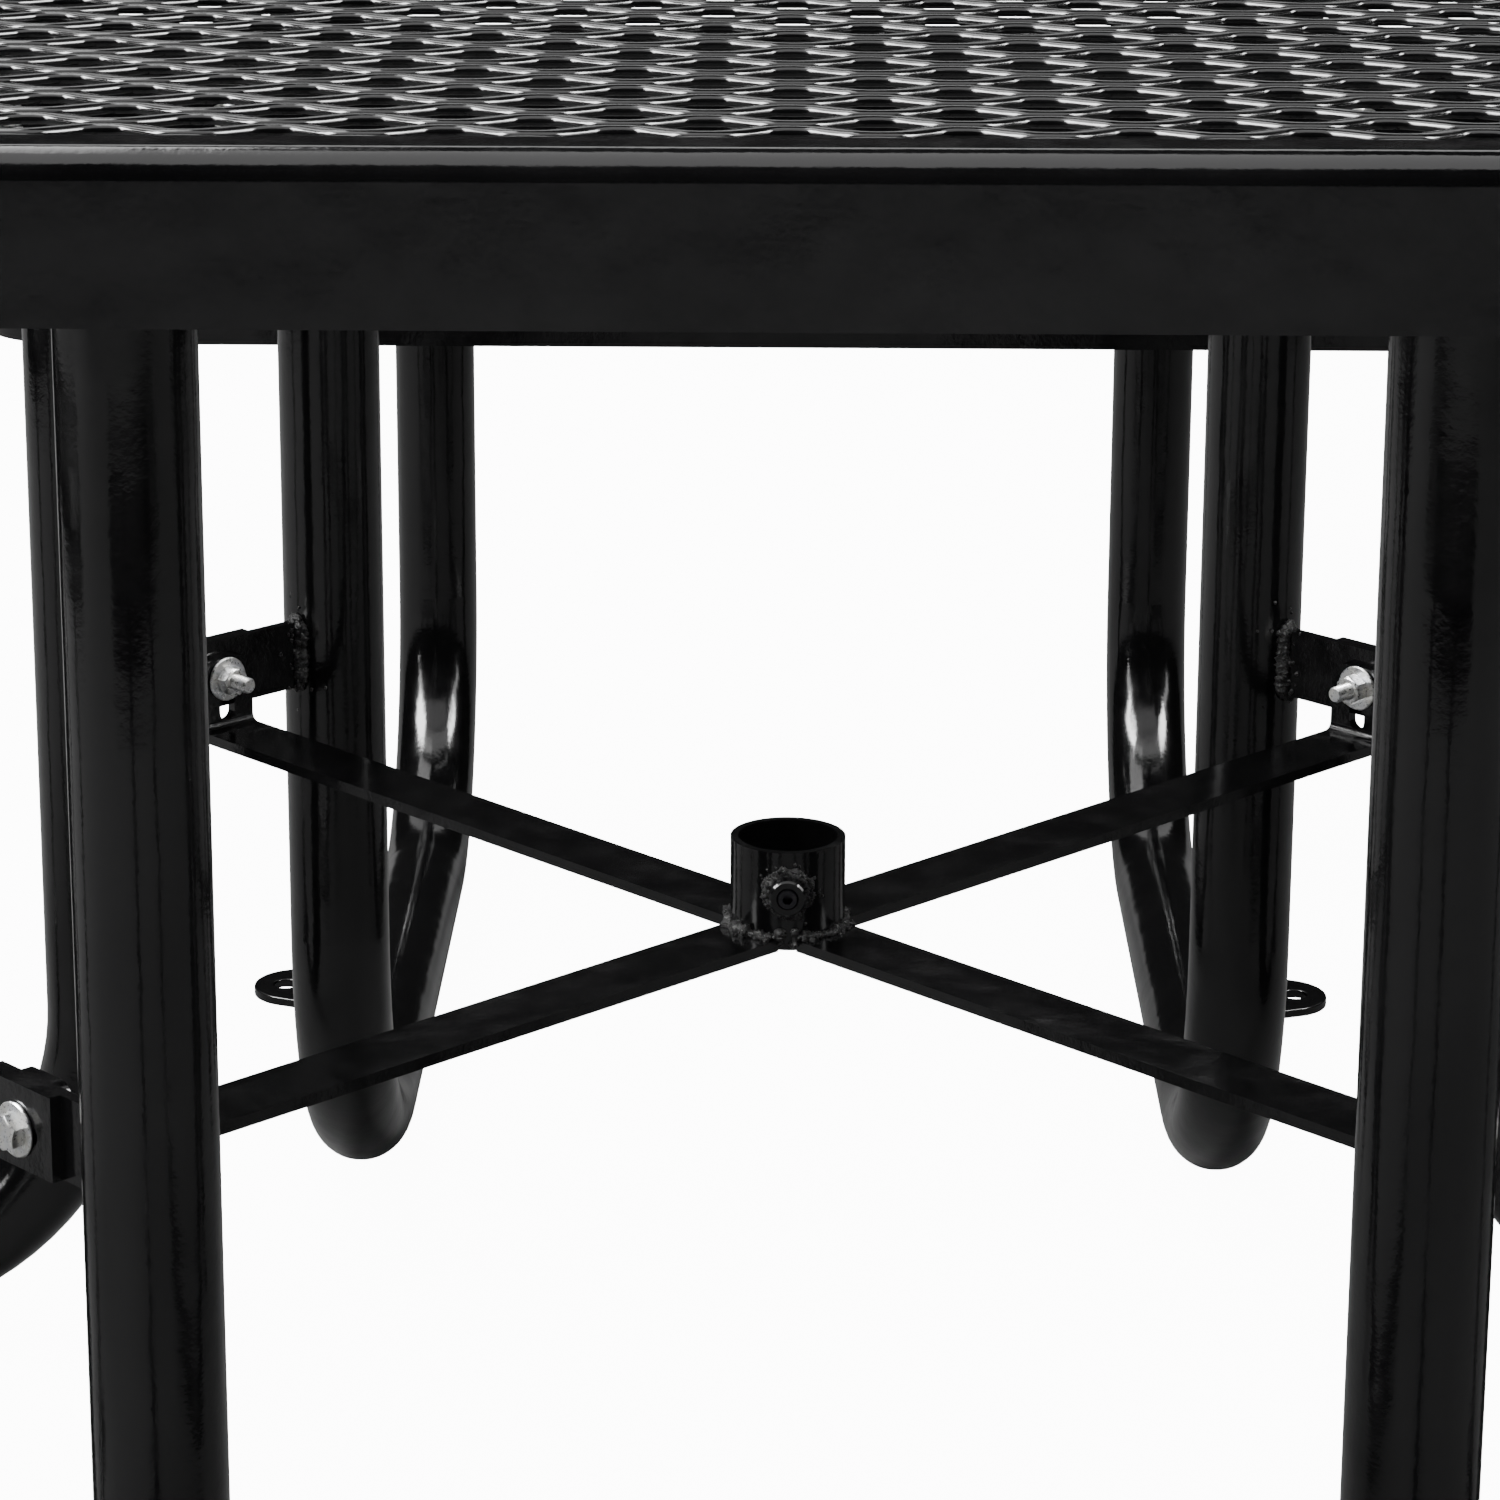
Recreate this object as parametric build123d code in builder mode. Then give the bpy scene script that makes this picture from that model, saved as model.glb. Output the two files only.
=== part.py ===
"""Square picnic table with four attached benches and an umbrella brace.

Steel tube legs carry an expanded-metal top and four expanded-metal seats.
Frame: millimetres, +Z up, origin on the floor under the middle of the top.
The front seat lies towards -Y. The other seats are the front one turned about Z.
"""

from build123d import *
import os
from math import sqrt

# Top
TOP_WIDTH = 1219.0
TOP_HEIGHT = 750.0
TOP_CORNER_R = 60.0

# Seats
SEAT_LENGTH = 1016.0
SEAT_DEPTH = 254.0
SEAT_HEIGHT = 418.0
SEAT_CENTRE = 1000.0
SEAT_CORNER_R = 60.0

# Pressed rim round the top and round each seat
RIM_HEIGHT = 52.0
RIM_SHEET = 3.5
RIM_FLANGE = 25.0
RIM_LIP_R = 9.0
RIM_INNER_R = 5.5

# Expanded metal, as the slab that its strands fill
MESH_THICKNESS = 6.5

# Legs: one bent tube from the top, along the floor, up to the seat
TUBE_R = 25.4
TUBE_WALL = 2.6
LEG_X = 231.0
LEG_INNER_Y = 340.0
BEND_R = 150.0

# Angle irons and the plates welded on the ends of the legs
ANGLE_WIDTH = 40.0
ANGLE_SHEET = 4.0
TOP_ANGLE_HEIGHT = 33.0
PLATE_LENGTH = 110.0
PLATE_WIDTH = 60.0
PLATE_SHEET = 5.0
PLATE_BOLT_OFFSET = 40.0
PLATE_CORNER_R = 6.0

# Foot tabs with an anchor hole
TAB_Y = 718.0
TAB_HOLE_OFFSET = 73.0
TAB_HOLE_R = 7.5
TAB_NOSE_R = 26.0
TAB_NOSE_OFFSET = 66.0
TAB_BASE_OFFSET = 15.3
TAB_BASE_WIDTH = 92.0
TAB_SHEET = 5.0
TAB_EDGE_R = 0.8

# Ears that join the legs at each corner, and the X brace
EAR_HEIGHT = 34.0
EAR_SHEET = 5.0
EAR_BOTTOM = 305.0
EAR_BOLT_HEIGHT = 15.5
EAR_OVERLAP = 22.0
EAR_SLOT_LENGTH = 26.0
BAR_WIDTH = 32.0
BAR_SHEET = 5.0
BAR_BOTTOM = 299.0
BAR_BEND_R = 4.0
BAR_TAB_TOP = 339.0
BAR_TAB_CORNER_R = 8.0
BAR_SLOT_BOTTOM = 307.0
BAR_SLOT_TOP = 333.0
CORNER_HOLE_R = 4.5

# Umbrella hub and the collar in the top
HUB_R = 25.0
HUB_BORE_R = 21.5
HUB_HEIGHT = 44.0
HUB_NUT_Z = 325.0
HUB_NUT_R = 8.0
HUB_NUT_LENGTH = 8.0
HUB_NUT_CHAMFER = 0.8
COLLAR_LENGTH = 34.0
COLLAR_PLATE_R = 55.0
COLLAR_PLATE_SHEET = 4.0
COLLAR_ABOVE_MESH = 2.0
COLLAR_MESH_GAP = 0.2

# M8 fasteners, with the threads left smooth
BOLT_R = 4.0
BOLT_HOLE_R = 4.5
HEX_ACROSS_FLATS = 13.0
HEAD_HEIGHT = 5.3
NUT_HEIGHT = 6.8
NUT_BORE_R = 4.05
THREAD_PAST_NUT = 10.0
PLATE_THREAD_PAST_NUT = 4.0
WASHER_R = 11.0
WASHER_SHEET = 1.6
SCREW_R = 3.95
SCREW_LENGTH = 12.0
SCREW_SOCKET = 4.0
SCREW_SOCKET_DEPTH = 5.0
SCREW_CLEAR_OF_BORE = 0.5
SCREW_CHAMFER = 0.8

# How far a cutting tool overshoots what it cuts
OVERSHOOT = 1.0

# Worked out from the above
HEX_R = HEX_ACROSS_FLATS / sqrt(3)
TOP_MESH_Z = TOP_HEIGHT - RIM_SHEET - MESH_THICKNESS
SEAT_MESH_Z = SEAT_HEIGHT - RIM_SHEET - MESH_THICKNESS
TOP_FLANGE_Z = TOP_MESH_Z - TOP_ANGLE_HEIGHT
LEG_TOP_Z = TOP_FLANGE_Z - PLATE_SHEET
SEAT_FLANGE_Z = SEAT_MESH_Z - TOP_ANGLE_HEIGHT
LEG_SEAT_Z = SEAT_FLANGE_Z - PLATE_SHEET
TOP_INSIDE = TOP_WIDTH - 2 * RIM_SHEET
SEAT_INSIDE = SEAT_DEPTH - 2 * RIM_SHEET
ANGLE_WALL_Y = LEG_INNER_Y - ANGLE_WIDTH / 2 - ANGLE_SHEET
CORNER_RADIUS = (LEG_X + LEG_INNER_Y) / sqrt(2)
CORNER_HALF_SPAN = (LEG_INNER_Y - LEG_X) / sqrt(2)
BOLT_Z = EAR_BOTTOM + EAR_BOLT_HEIGHT
EAR_CENTRE_Z = EAR_BOTTOM + EAR_HEIGHT / 2
BAR_TAB_OUTSIDE = CORNER_RADIUS - EAR_SHEET
BAR_TAB_INSIDE = BAR_TAB_OUTSIDE - BAR_SHEET

SIDES = {"front": 0, "right": 90, "back": 180, "left": 270}
CORNERS = {"front_right": -45, "back_right": 45, "back_left": 135, "front_left": 225}

# Height of each corner's ears above the lowest, taken up by the slots in the brace
EAR_LIFTS = {"front_right": 0.0, "back_right": 8.0, "back_left": 8.0, "front_left": 0.0}

os.makedirs("parts", exist_ok=True)


def save(shape, name):
    """Labels one finished piece, or one group of alike pieces, and writes it."""
    shape.label = name
    export_step(shape, f"parts/{name}.step")


def save_turned(builder, name, turn):
    """Writes a copy of a piece, turned about the table's upright axis."""
    save(builder.part.rotate(Axis.Z, turn), name)


def make_rim(length, depth, top_z, corner_r):
    """Angle-section rim, centred on the origin: an upright band and an inward flange."""
    with BuildPart() as pocket:
        with BuildSketch(Plane.XY.offset(top_z - RIM_HEIGHT)):
            RectangleRounded(length - 2 * RIM_SHEET, depth - 2 * RIM_SHEET, corner_r - RIM_SHEET)
        extrude(amount=RIM_HEIGHT - RIM_SHEET)
        fillet(pocket.faces().sort_by(Axis.Z)[-1].edges(), RIM_INNER_R)
    with BuildPart() as rim:
        with BuildSketch(Plane.XY.offset(top_z - RIM_HEIGHT)):
            RectangleRounded(length, depth, corner_r)
        extrude(amount=RIM_HEIGHT)
        fillet(rim.faces().sort_by(Axis.Z)[-1].edges(), RIM_LIP_R)
        add(pocket.part, mode=Mode.SUBTRACT)
        with BuildSketch(Plane.XY.offset(top_z)):
            RectangleRounded(length - 2 * RIM_FLANGE, depth - 2 * RIM_FLANGE, corner_r - RIM_FLANGE)
        extrude(amount=-RIM_HEIGHT, mode=Mode.SUBTRACT)
    return rim


def make_mesh_slab(length, depth, bottom_z, corner_r, hole_r=0.0):
    """Slab that the expanded metal fills, with its edges under the rim's flange."""
    gap = RIM_SHEET + RIM_INNER_R
    with BuildPart() as slab:
        with BuildSketch(Plane.XY.offset(bottom_z)):
            RectangleRounded(length - 2 * gap, depth - 2 * gap, corner_r - gap)
            if hole_r:
                Circle(hole_r, mode=Mode.SUBTRACT)
        extrude(amount=MESH_THICKNESS)
    return slab


def make_angle(length, flange_z, height):
    """Angle iron along X: flange at the bottom, centred on Y = 0, and a wall on its +Y side."""
    with BuildPart() as angle:
        with BuildSketch(Plane.YZ.offset(-length / 2)):
            with Locations((-ANGLE_WIDTH / 2, flange_z)):
                Rectangle(ANGLE_WIDTH, ANGLE_SHEET, align=(Align.MIN, Align.MIN))
            with Locations((ANGLE_WIDTH / 2, flange_z)):
                Rectangle(ANGLE_SHEET, height, align=(Align.MIN, Align.MIN))
        extrude(amount=length)
    return angle


def make_leg(x):
    """One leg of the front seat: upright, bend, floor run, bend, upright."""
    route_points = [
        (-LEG_INNER_Y, LEG_TOP_Z),
        (-LEG_INNER_Y, TUBE_R),
        (-SEAT_CENTRE, TUBE_R),
        (-SEAT_CENTRE, LEG_SEAT_Z),
    ]
    with BuildPart() as leg:
        with BuildLine(Plane.YZ.offset(x)) as route:
            FilletPolyline(*route_points, radius=BEND_R)
        with BuildSketch(Plane((x, -LEG_INNER_Y, LEG_TOP_Z), x_dir=(1, 0, 0), z_dir=(0, 0, -1))):
            Circle(TUBE_R)
            Circle(TUBE_R - TUBE_WALL, mode=Mode.SUBTRACT)
        sweep(path=route.wires()[0])
    return leg


def make_plates(length, width, bottom_z, centre_y, bolt_spots):
    """The pair of plates on the front seat's two legs, drilled at bolt_spots."""
    with BuildPart() as plates:
        with BuildSketch(Plane.XY.offset(bottom_z)):
            with Locations((-LEG_X, centre_y), (LEG_X, centre_y)):
                RectangleRounded(length, width, PLATE_CORNER_R)
            with Locations(*bolt_spots):
                Circle(BOLT_HOLE_R, mode=Mode.SUBTRACT)
        extrude(amount=PLATE_SHEET)
    return plates


def make_foot_tabs():
    """Rounded plates on the outer side of the front seat's floor runs."""
    with BuildPart() as tabs:
        for hand in (-1, 1):
            with BuildSketch():
                with BuildLine():
                    base_x = hand * (LEG_X + TAB_BASE_OFFSET)
                    Line((base_x, -TAB_Y - TAB_BASE_WIDTH / 2), (base_x, -TAB_Y + TAB_BASE_WIDTH / 2))
                    CenterArc((hand * (LEG_X + TAB_NOSE_OFFSET), -TAB_Y), TAB_NOSE_R, 0, 360)
                make_hull()
                with Locations((hand * (LEG_X + TAB_HOLE_OFFSET), -TAB_Y)):
                    Circle(TAB_HOLE_R, mode=Mode.SUBTRACT)
            extrude(amount=TAB_SHEET)
        fillet(tabs.faces().sort_by(Axis.Z)[-2:].edges().filter_by(GeomType.CIRCLE), TAB_EDGE_R)
    return tabs


def make_ear(hand, inner_face, slot_length, lift):
    """Corner ear with its corner on the +X axis, running from the tube at Y = -hand * half span."""
    tube_y = -hand * CORNER_HALF_SPAN
    free_end = hand * EAR_OVERLAP
    middle_y = (tube_y + free_end) / 2
    face_plane = Plane((inner_face, 0, 0), x_dir=(0, 1, 0), z_dir=(1, 0, 0))
    with BuildPart() as ear:
        with BuildSketch(face_plane):
            with Locations((middle_y, EAR_CENTRE_Z + lift)):
                Rectangle(abs(free_end - tube_y), EAR_HEIGHT)
            with Locations((0, BOLT_Z + lift)):
                if slot_length:
                    SlotOverall(slot_length, 2 * CORNER_HOLE_R, mode=Mode.SUBTRACT)
                else:
                    Circle(CORNER_HOLE_R, mode=Mode.SUBTRACT)
        extrude(amount=EAR_SHEET)
        with BuildSketch(Plane.XY.offset(EAR_BOTTOM + lift - OVERSHOOT)):
            with Locations((CORNER_RADIUS, tube_y)):
                Circle(TUBE_R)
        extrude(amount=EAR_HEIGHT + 2 * OVERSHOOT, mode=Mode.SUBTRACT)
    return ear


def make_brace_bar():
    """Flat bar along +X from the hub, with its end bent up into a slotted tab."""
    bar_z = BAR_BOTTOM + BAR_SHEET / 2
    tab_x = BAR_TAB_OUTSIDE - BAR_SHEET / 2
    slot_z = (BAR_SLOT_BOTTOM + BAR_SLOT_TOP) / 2
    with BuildPart() as bar:
        with BuildLine(Plane.XZ) as route:
            FilletPolyline((HUB_BORE_R, bar_z), (tab_x, bar_z), (tab_x, BAR_TAB_TOP),
                           radius=BAR_BEND_R + BAR_SHEET / 2)
        with BuildSketch(Plane.YZ.offset(HUB_BORE_R)):
            with Locations((0, bar_z)):
                Rectangle(BAR_WIDTH, BAR_SHEET)
        sweep(path=route.wires()[0])
        tab_corners = bar.edges().filter_by(Axis.X).group_by(Axis.Z)[-1]
        fillet(tab_corners, BAR_TAB_CORNER_R)
        with BuildSketch(Plane((BAR_TAB_INSIDE - OVERSHOOT, 0, 0), x_dir=(0, 1, 0), z_dir=(1, 0, 0))):
            with Locations((0, slot_z)):
                SlotOverall(BAR_SLOT_TOP - BAR_SLOT_BOTTOM, 2 * CORNER_HOLE_R, rotation=90)
        extrude(amount=BAR_SHEET + 2 * OVERSHOOT, mode=Mode.SUBTRACT)
        with BuildSketch(Plane.XY.offset(BAR_BOTTOM - OVERSHOOT)):
            Circle(HUB_R)
        extrude(amount=BAR_SHEET + 2 * OVERSHOOT, mode=Mode.SUBTRACT)
    return bar


def corner_plane(corner, distance):
    """Plane at a corner's bolt, facing away from the table's middle along the diagonal."""
    outward = Vector(1, 0, 0).rotate(Axis.Z, CORNERS[corner])
    across = Vector(0, 1, 0).rotate(Axis.Z, CORNERS[corner])
    bolt_z = BOLT_Z + EAR_LIFTS[corner]
    return Plane(outward * distance + Vector(0, 0, bolt_z), x_dir=across, z_dir=outward)


def hex_prism(plane, height, bore_r=0.0):
    """Hexagon of an M8 head or nut, standing on a plane."""
    with BuildPart(mode=Mode.PRIVATE) as prism:
        with BuildSketch(plane):
            RegularPolygon(HEX_R, 6)
            if bore_r:
                Circle(bore_r, mode=Mode.SUBTRACT)
        extrude(amount=height)
    return prism.part


def round_bar(plane, radius, length, bore_r=0.0):
    """Cylinder or ring standing on a plane."""
    with BuildPart(mode=Mode.PRIVATE) as bar:
        with BuildSketch(plane):
            Circle(radius)
            if bore_r:
                Circle(bore_r, mode=Mode.SUBTRACT)
        extrude(amount=length)
    return bar.part


# The top
top_rim = make_rim(TOP_WIDTH, TOP_WIDTH, TOP_HEIGHT, TOP_CORNER_R)
save(top_rim.part, "top_rim")

top_mesh = make_mesh_slab(TOP_WIDTH, TOP_WIDTH, TOP_MESH_Z, TOP_CORNER_R, hole_r=HUB_R + COLLAR_MESH_GAP)
save(top_mesh.part, "top_mesh")

with BuildPart() as umbrella_collar:
    collar_top = TOP_MESH_Z + MESH_THICKNESS + COLLAR_ABOVE_MESH
    add(round_bar(Plane.XY.offset(collar_top - COLLAR_LENGTH), HUB_R, COLLAR_LENGTH, HUB_BORE_R))
    collar_plate = Plane.XY.offset(TOP_MESH_Z - COLLAR_PLATE_SHEET)
    add(round_bar(collar_plate, COLLAR_PLATE_R, COLLAR_PLATE_SHEET, HUB_BORE_R))
save(umbrella_collar.part, "umbrella_collar")

# Angle irons under the top: two right across, and two short ones between them
long_length = TOP_INSIDE
short_length = 2 * ANGLE_WALL_Y
for side, turn in SIDES.items():
    length = long_length if side in ("front", "back") else short_length
    angle = make_angle(length, TOP_FLANGE_Z, TOP_ANGLE_HEIGHT)
    with BuildPart() as top_angle:
        with Locations((0, -LEG_INNER_Y, 0)):
            add(angle.part)
        with BuildSketch(Plane.XY.offset(TOP_FLANGE_Z)):
            for x in (-LEG_X, LEG_X):
                with Locations((x - PLATE_BOLT_OFFSET, -LEG_INNER_Y), (x + PLATE_BOLT_OFFSET, -LEG_INNER_Y)):
                    Circle(BOLT_HOLE_R)
        extrude(amount=ANGLE_SHEET, mode=Mode.SUBTRACT)
    save_turned(top_angle, f"top_angle_{side}", turn)

# Seats, their angle irons, legs, plates and foot tabs
seat_rim = make_rim(SEAT_LENGTH, SEAT_DEPTH, SEAT_HEIGHT, SEAT_CORNER_R)
seat_slab = make_mesh_slab(SEAT_LENGTH, SEAT_DEPTH, SEAT_MESH_Z, SEAT_CORNER_R)
seat_angle = make_angle(SEAT_INSIDE, SEAT_FLANGE_Z, TOP_ANGLE_HEIGHT)

top_bolt_spots = [
    (x + offset, -LEG_INNER_Y)
    for x in (-LEG_X, LEG_X)
    for offset in (-PLATE_BOLT_OFFSET, PLATE_BOLT_OFFSET)
]
seat_bolt_spots = [
    (x, -SEAT_CENTRE + offset)
    for x in (-LEG_X, LEG_X)
    for offset in (-PLATE_BOLT_OFFSET, PLATE_BOLT_OFFSET)
]

with BuildPart() as placed_rim:
    with Locations((0, -SEAT_CENTRE, 0)):
        add(seat_rim.part)
with BuildPart() as placed_slab:
    with Locations((0, -SEAT_CENTRE, 0)):
        add(seat_slab.part)
right_angle_place = Location((LEG_X, -SEAT_CENTRE, 0), (0, 0, -90))
left_angle_place = Location((-LEG_X, -SEAT_CENTRE, 0), (0, 0, 90))
with BuildPart() as seat_angles:
    with Locations(right_angle_place, left_angle_place):
        add(seat_angle.part)
    with BuildSketch(Plane.XY.offset(SEAT_FLANGE_Z)):
        with Locations(*seat_bolt_spots):
            Circle(BOLT_HOLE_R)
    extrude(amount=ANGLE_SHEET, mode=Mode.SUBTRACT)

top_plates = make_plates(PLATE_LENGTH, PLATE_WIDTH, LEG_TOP_Z, -LEG_INNER_Y, top_bolt_spots)
seat_plates = make_plates(PLATE_WIDTH, PLATE_LENGTH, LEG_SEAT_Z, -SEAT_CENTRE, seat_bolt_spots)
foot_tabs = make_foot_tabs()
left_leg = make_leg(-LEG_X)
right_leg = make_leg(LEG_X)

for side, turn in SIDES.items():
    save_turned(placed_rim, f"{side}_seat_rim", turn)
    save_turned(placed_slab, f"{side}_seat_mesh", turn)
    save_turned(seat_angles, f"{side}_seat_angles", turn)
    save_turned(left_leg, f"{side}_leg_a", turn)
    save_turned(right_leg, f"{side}_leg_b", turn)
    save_turned(top_plates, f"{side}_leg_top_plates", turn)
    save_turned(seat_plates, f"{side}_leg_seat_plates", turn)
    save_turned(foot_tabs, f"{side}_foot_tabs", turn)

# Corner ears: the side seats' ears lie outside the front and back seats' ears
for corner, turn in CORNERS.items():
    hand_of_front = 1 if corner in ("front_right", "back_left") else -1
    lift = EAR_LIFTS[corner]
    inner_ear = make_ear(hand_of_front, CORNER_RADIUS - EAR_SHEET, 0, lift)
    outer_ear = make_ear(-hand_of_front, CORNER_RADIUS, EAR_SLOT_LENGTH, lift)
    save_turned(inner_ear, f"{corner}_inner_ear", turn)
    save_turned(outer_ear, f"{corner}_outer_ear", turn)

# X brace
brace_bar = make_brace_bar()
for corner, turn in CORNERS.items():
    save_turned(brace_bar, f"{corner}_brace_bar", turn)

with BuildPart() as hub_tube:
    add(round_bar(Plane.XY.offset(BAR_BOTTOM), HUB_R, HUB_HEIGHT, HUB_BORE_R))
    with BuildSketch(Plane((0, -HUB_R - OVERSHOOT, HUB_NUT_Z), x_dir=(1, 0, 0), z_dir=(0, 1, 0))):
        Circle(BOLT_HOLE_R)
    extrude(amount=HUB_R, mode=Mode.SUBTRACT)
save(hub_tube.part, "hub_tube")

# Weld nut on the hub, its inner end shaped to the hub, and its set screw
nut_outer_y = -HUB_R - HUB_NUT_LENGTH
nut_plane = Plane((0, nut_outer_y, HUB_NUT_Z), x_dir=(1, 0, 0), z_dir=(0, 1, 0))
with BuildPart() as hub_nut:
    add(round_bar(nut_plane, HUB_NUT_R, HUB_NUT_LENGTH + 2 * OVERSHOOT, BOLT_R))
    with BuildSketch(Plane.XY.offset(BAR_BOTTOM)):
        Circle(HUB_R)
    extrude(amount=HUB_HEIGHT, mode=Mode.SUBTRACT)
    chamfer(hub_nut.edges().filter_by(GeomType.CIRCLE).group_by(Axis.Y)[0], HUB_NUT_CHAMFER)
save(hub_nut.part, "hub_weld_nut")

screw_outer_y = -HUB_BORE_R - SCREW_CLEAR_OF_BORE - SCREW_LENGTH
screw_plane = Plane((0, screw_outer_y, HUB_NUT_Z), x_dir=(1, 0, 0), z_dir=(0, 1, 0))
with BuildPart() as set_screw:
    add(round_bar(screw_plane, SCREW_R, SCREW_LENGTH))
    with BuildSketch(screw_plane):
        RegularPolygon(SCREW_SOCKET / sqrt(3), 6)
    extrude(amount=SCREW_SOCKET_DEPTH, mode=Mode.SUBTRACT)
    chamfer(set_screw.faces().sort_by(Axis.Y)[-1].edges(), SCREW_CHAMFER)
save(set_screw.part, "umbrella_set_screw")

# Corner fasteners along the diagonals
head_seat = CORNER_RADIUS + EAR_SHEET + WASHER_SHEET
nut_seat = BAR_TAB_INSIDE - WASHER_SHEET
bolt_tip = nut_seat - NUT_HEIGHT - THREAD_PAST_NUT

with BuildPart() as corner_bolts:
    for corner in CORNERS:
        add(hex_prism(corner_plane(corner, head_seat), HEAD_HEIGHT))
        add(round_bar(corner_plane(corner, bolt_tip), BOLT_R, head_seat - bolt_tip))
save(corner_bolts.part, "corner_bolts")

with BuildPart() as corner_washers:
    for corner in CORNERS:
        for distance in (CORNER_RADIUS + EAR_SHEET, nut_seat):
            add(round_bar(corner_plane(corner, distance), WASHER_R, WASHER_SHEET, BOLT_HOLE_R))
save(corner_washers.part, "corner_washers")

with BuildPart() as corner_nuts:
    for corner in CORNERS:
        add(hex_prism(corner_plane(corner, nut_seat - NUT_HEIGHT), NUT_HEIGHT, NUT_BORE_R))
save(corner_nuts.part, "corner_nuts")

# Bolts and nuts through the leg plates and angle irons
plate_stack = PLATE_SHEET + ANGLE_SHEET
shank_length = plate_stack + NUT_HEIGHT + PLATE_THREAD_PAST_NUT
bolt_rows = [(top_bolt_spots, LEG_TOP_Z), (seat_bolt_spots, LEG_SEAT_Z)]
with BuildPart() as side_bolts:
    for spots, plate_z in bolt_rows:
        for x, y in spots:
            add(hex_prism(Plane((x, y, plate_z - HEAD_HEIGHT)), HEAD_HEIGHT))
            add(round_bar(Plane((x, y, plate_z)), BOLT_R, shank_length))
with BuildPart() as side_nuts:
    for spots, plate_z in bolt_rows:
        for x, y in spots:
            add(hex_prism(Plane((x, y, plate_z + plate_stack)), NUT_HEIGHT, NUT_BORE_R))

with BuildPart() as plate_bolts:
    for turn in SIDES.values():
        add(side_bolts.part.rotate(Axis.Z, turn))
save(plate_bolts.part, "plate_bolts")

with BuildPart() as plate_nuts:
    for turn in SIDES.values():
        add(side_nuts.part.rotate(Axis.Z, turn))
save(plate_nuts.part, "plate_nuts")
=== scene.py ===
"""Looks of the picnic table: glossy black coated steel, expanded metal, welds and zinc fasteners."""

import math

import bpy
import numpy as np
from mathutils import Matrix, Vector


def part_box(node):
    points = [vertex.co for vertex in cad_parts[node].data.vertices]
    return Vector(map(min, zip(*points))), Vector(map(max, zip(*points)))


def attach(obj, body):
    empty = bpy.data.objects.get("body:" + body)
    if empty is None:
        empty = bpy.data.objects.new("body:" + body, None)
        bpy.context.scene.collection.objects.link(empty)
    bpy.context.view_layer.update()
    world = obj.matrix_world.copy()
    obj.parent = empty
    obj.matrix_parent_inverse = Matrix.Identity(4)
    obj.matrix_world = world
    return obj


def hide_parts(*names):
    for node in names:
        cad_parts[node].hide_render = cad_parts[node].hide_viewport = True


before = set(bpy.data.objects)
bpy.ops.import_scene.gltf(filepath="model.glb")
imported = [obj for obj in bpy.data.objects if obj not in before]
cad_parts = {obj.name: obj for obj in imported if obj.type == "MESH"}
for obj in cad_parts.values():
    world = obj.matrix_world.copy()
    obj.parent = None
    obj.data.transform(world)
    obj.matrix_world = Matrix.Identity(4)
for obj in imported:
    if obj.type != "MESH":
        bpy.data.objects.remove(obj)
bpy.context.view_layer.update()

MM = 0.001
TABLE = "table"
QUARTER_TURNS = {"front": 0, "right": 90, "back": 180, "left": 270}
CORNER_TURNS = {"front_right": -45, "back_right": 45, "back_left": 135, "front_left": 225}

# ---------------------------------------------------------------- places, read from the frame

leg_low, leg_high = (np.array(v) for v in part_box("front_leg_b"))
TUBE_R = (leg_high[0] - leg_low[0]) / 2
LEG_X = (leg_high[0] + leg_low[0]) / 2
LEG_Y = -(leg_high[1] - TUBE_R)
SEAT_Y = -(leg_low[1] + TUBE_R)
LEG_TOP_Z = leg_high[2]
LEG_SEAT_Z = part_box("front_leg_seat_plates")[0][2]
HUB_LOW, HUB_HIGH = (np.array(v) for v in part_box("hub_tube"))
HUB_R = (HUB_HIGH[0] - HUB_LOW[0]) / 2
CORNER_DISTANCE = (LEG_X + LEG_Y) / math.sqrt(2)
CORNER_HALF_SPAN = (LEG_Y - LEG_X) / math.sqrt(2)
EAR_LOW_Z = {corner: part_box(f"{corner}_inner_ear")[0][2] for corner in CORNER_TURNS}
EAR_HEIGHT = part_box("front_left_inner_ear")[1][2] - EAR_LOW_Z["front_left"]
EAR_BOLT_HEIGHT = 15.5 * MM
EAR_SHEET = 5 * MM
BAR_WIDTH = 32 * MM
BAR_SHEET = 5 * MM
NUT_LOW, NUT_HIGH = (np.array(v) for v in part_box("hub_weld_nut"))
NUT_Z = (NUT_LOW[2] + NUT_HIGH[2]) / 2

# ---------------------------------------------------------------- materials


def node_material(name, color, metallic, roughness, specular=0.5):
    """A principled material with its constants set, and its node tools."""
    material = bpy.data.materials.new(name)
    material.use_nodes = True
    tree = material.node_tree
    shader = tree.nodes["Principled BSDF"]
    shader.inputs["Base Color"].default_value = (*color, 1)
    shader.inputs["Metallic"].default_value = metallic
    shader.inputs["Roughness"].default_value = roughness
    shader.inputs["Specular IOR Level"].default_value = specular
    return material, tree, shader


def noise_node(tree, scale, detail=3.0, roughness=0.5, stretch=(1, 1, 1)):
    """Object-space noise, in cycles per metre."""
    coords = tree.nodes.new("ShaderNodeTexCoord")
    mapping = tree.nodes.new("ShaderNodeMapping")
    mapping.inputs["Scale"].default_value = stretch
    noise = tree.nodes.new("ShaderNodeTexNoise")
    noise.inputs["Scale"].default_value = scale
    noise.inputs["Detail"].default_value = detail
    noise.inputs["Roughness"].default_value = roughness
    tree.links.new(coords.outputs["Object"], mapping.inputs["Vector"])
    tree.links.new(mapping.outputs["Vector"], noise.inputs["Vector"])
    return noise


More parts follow.
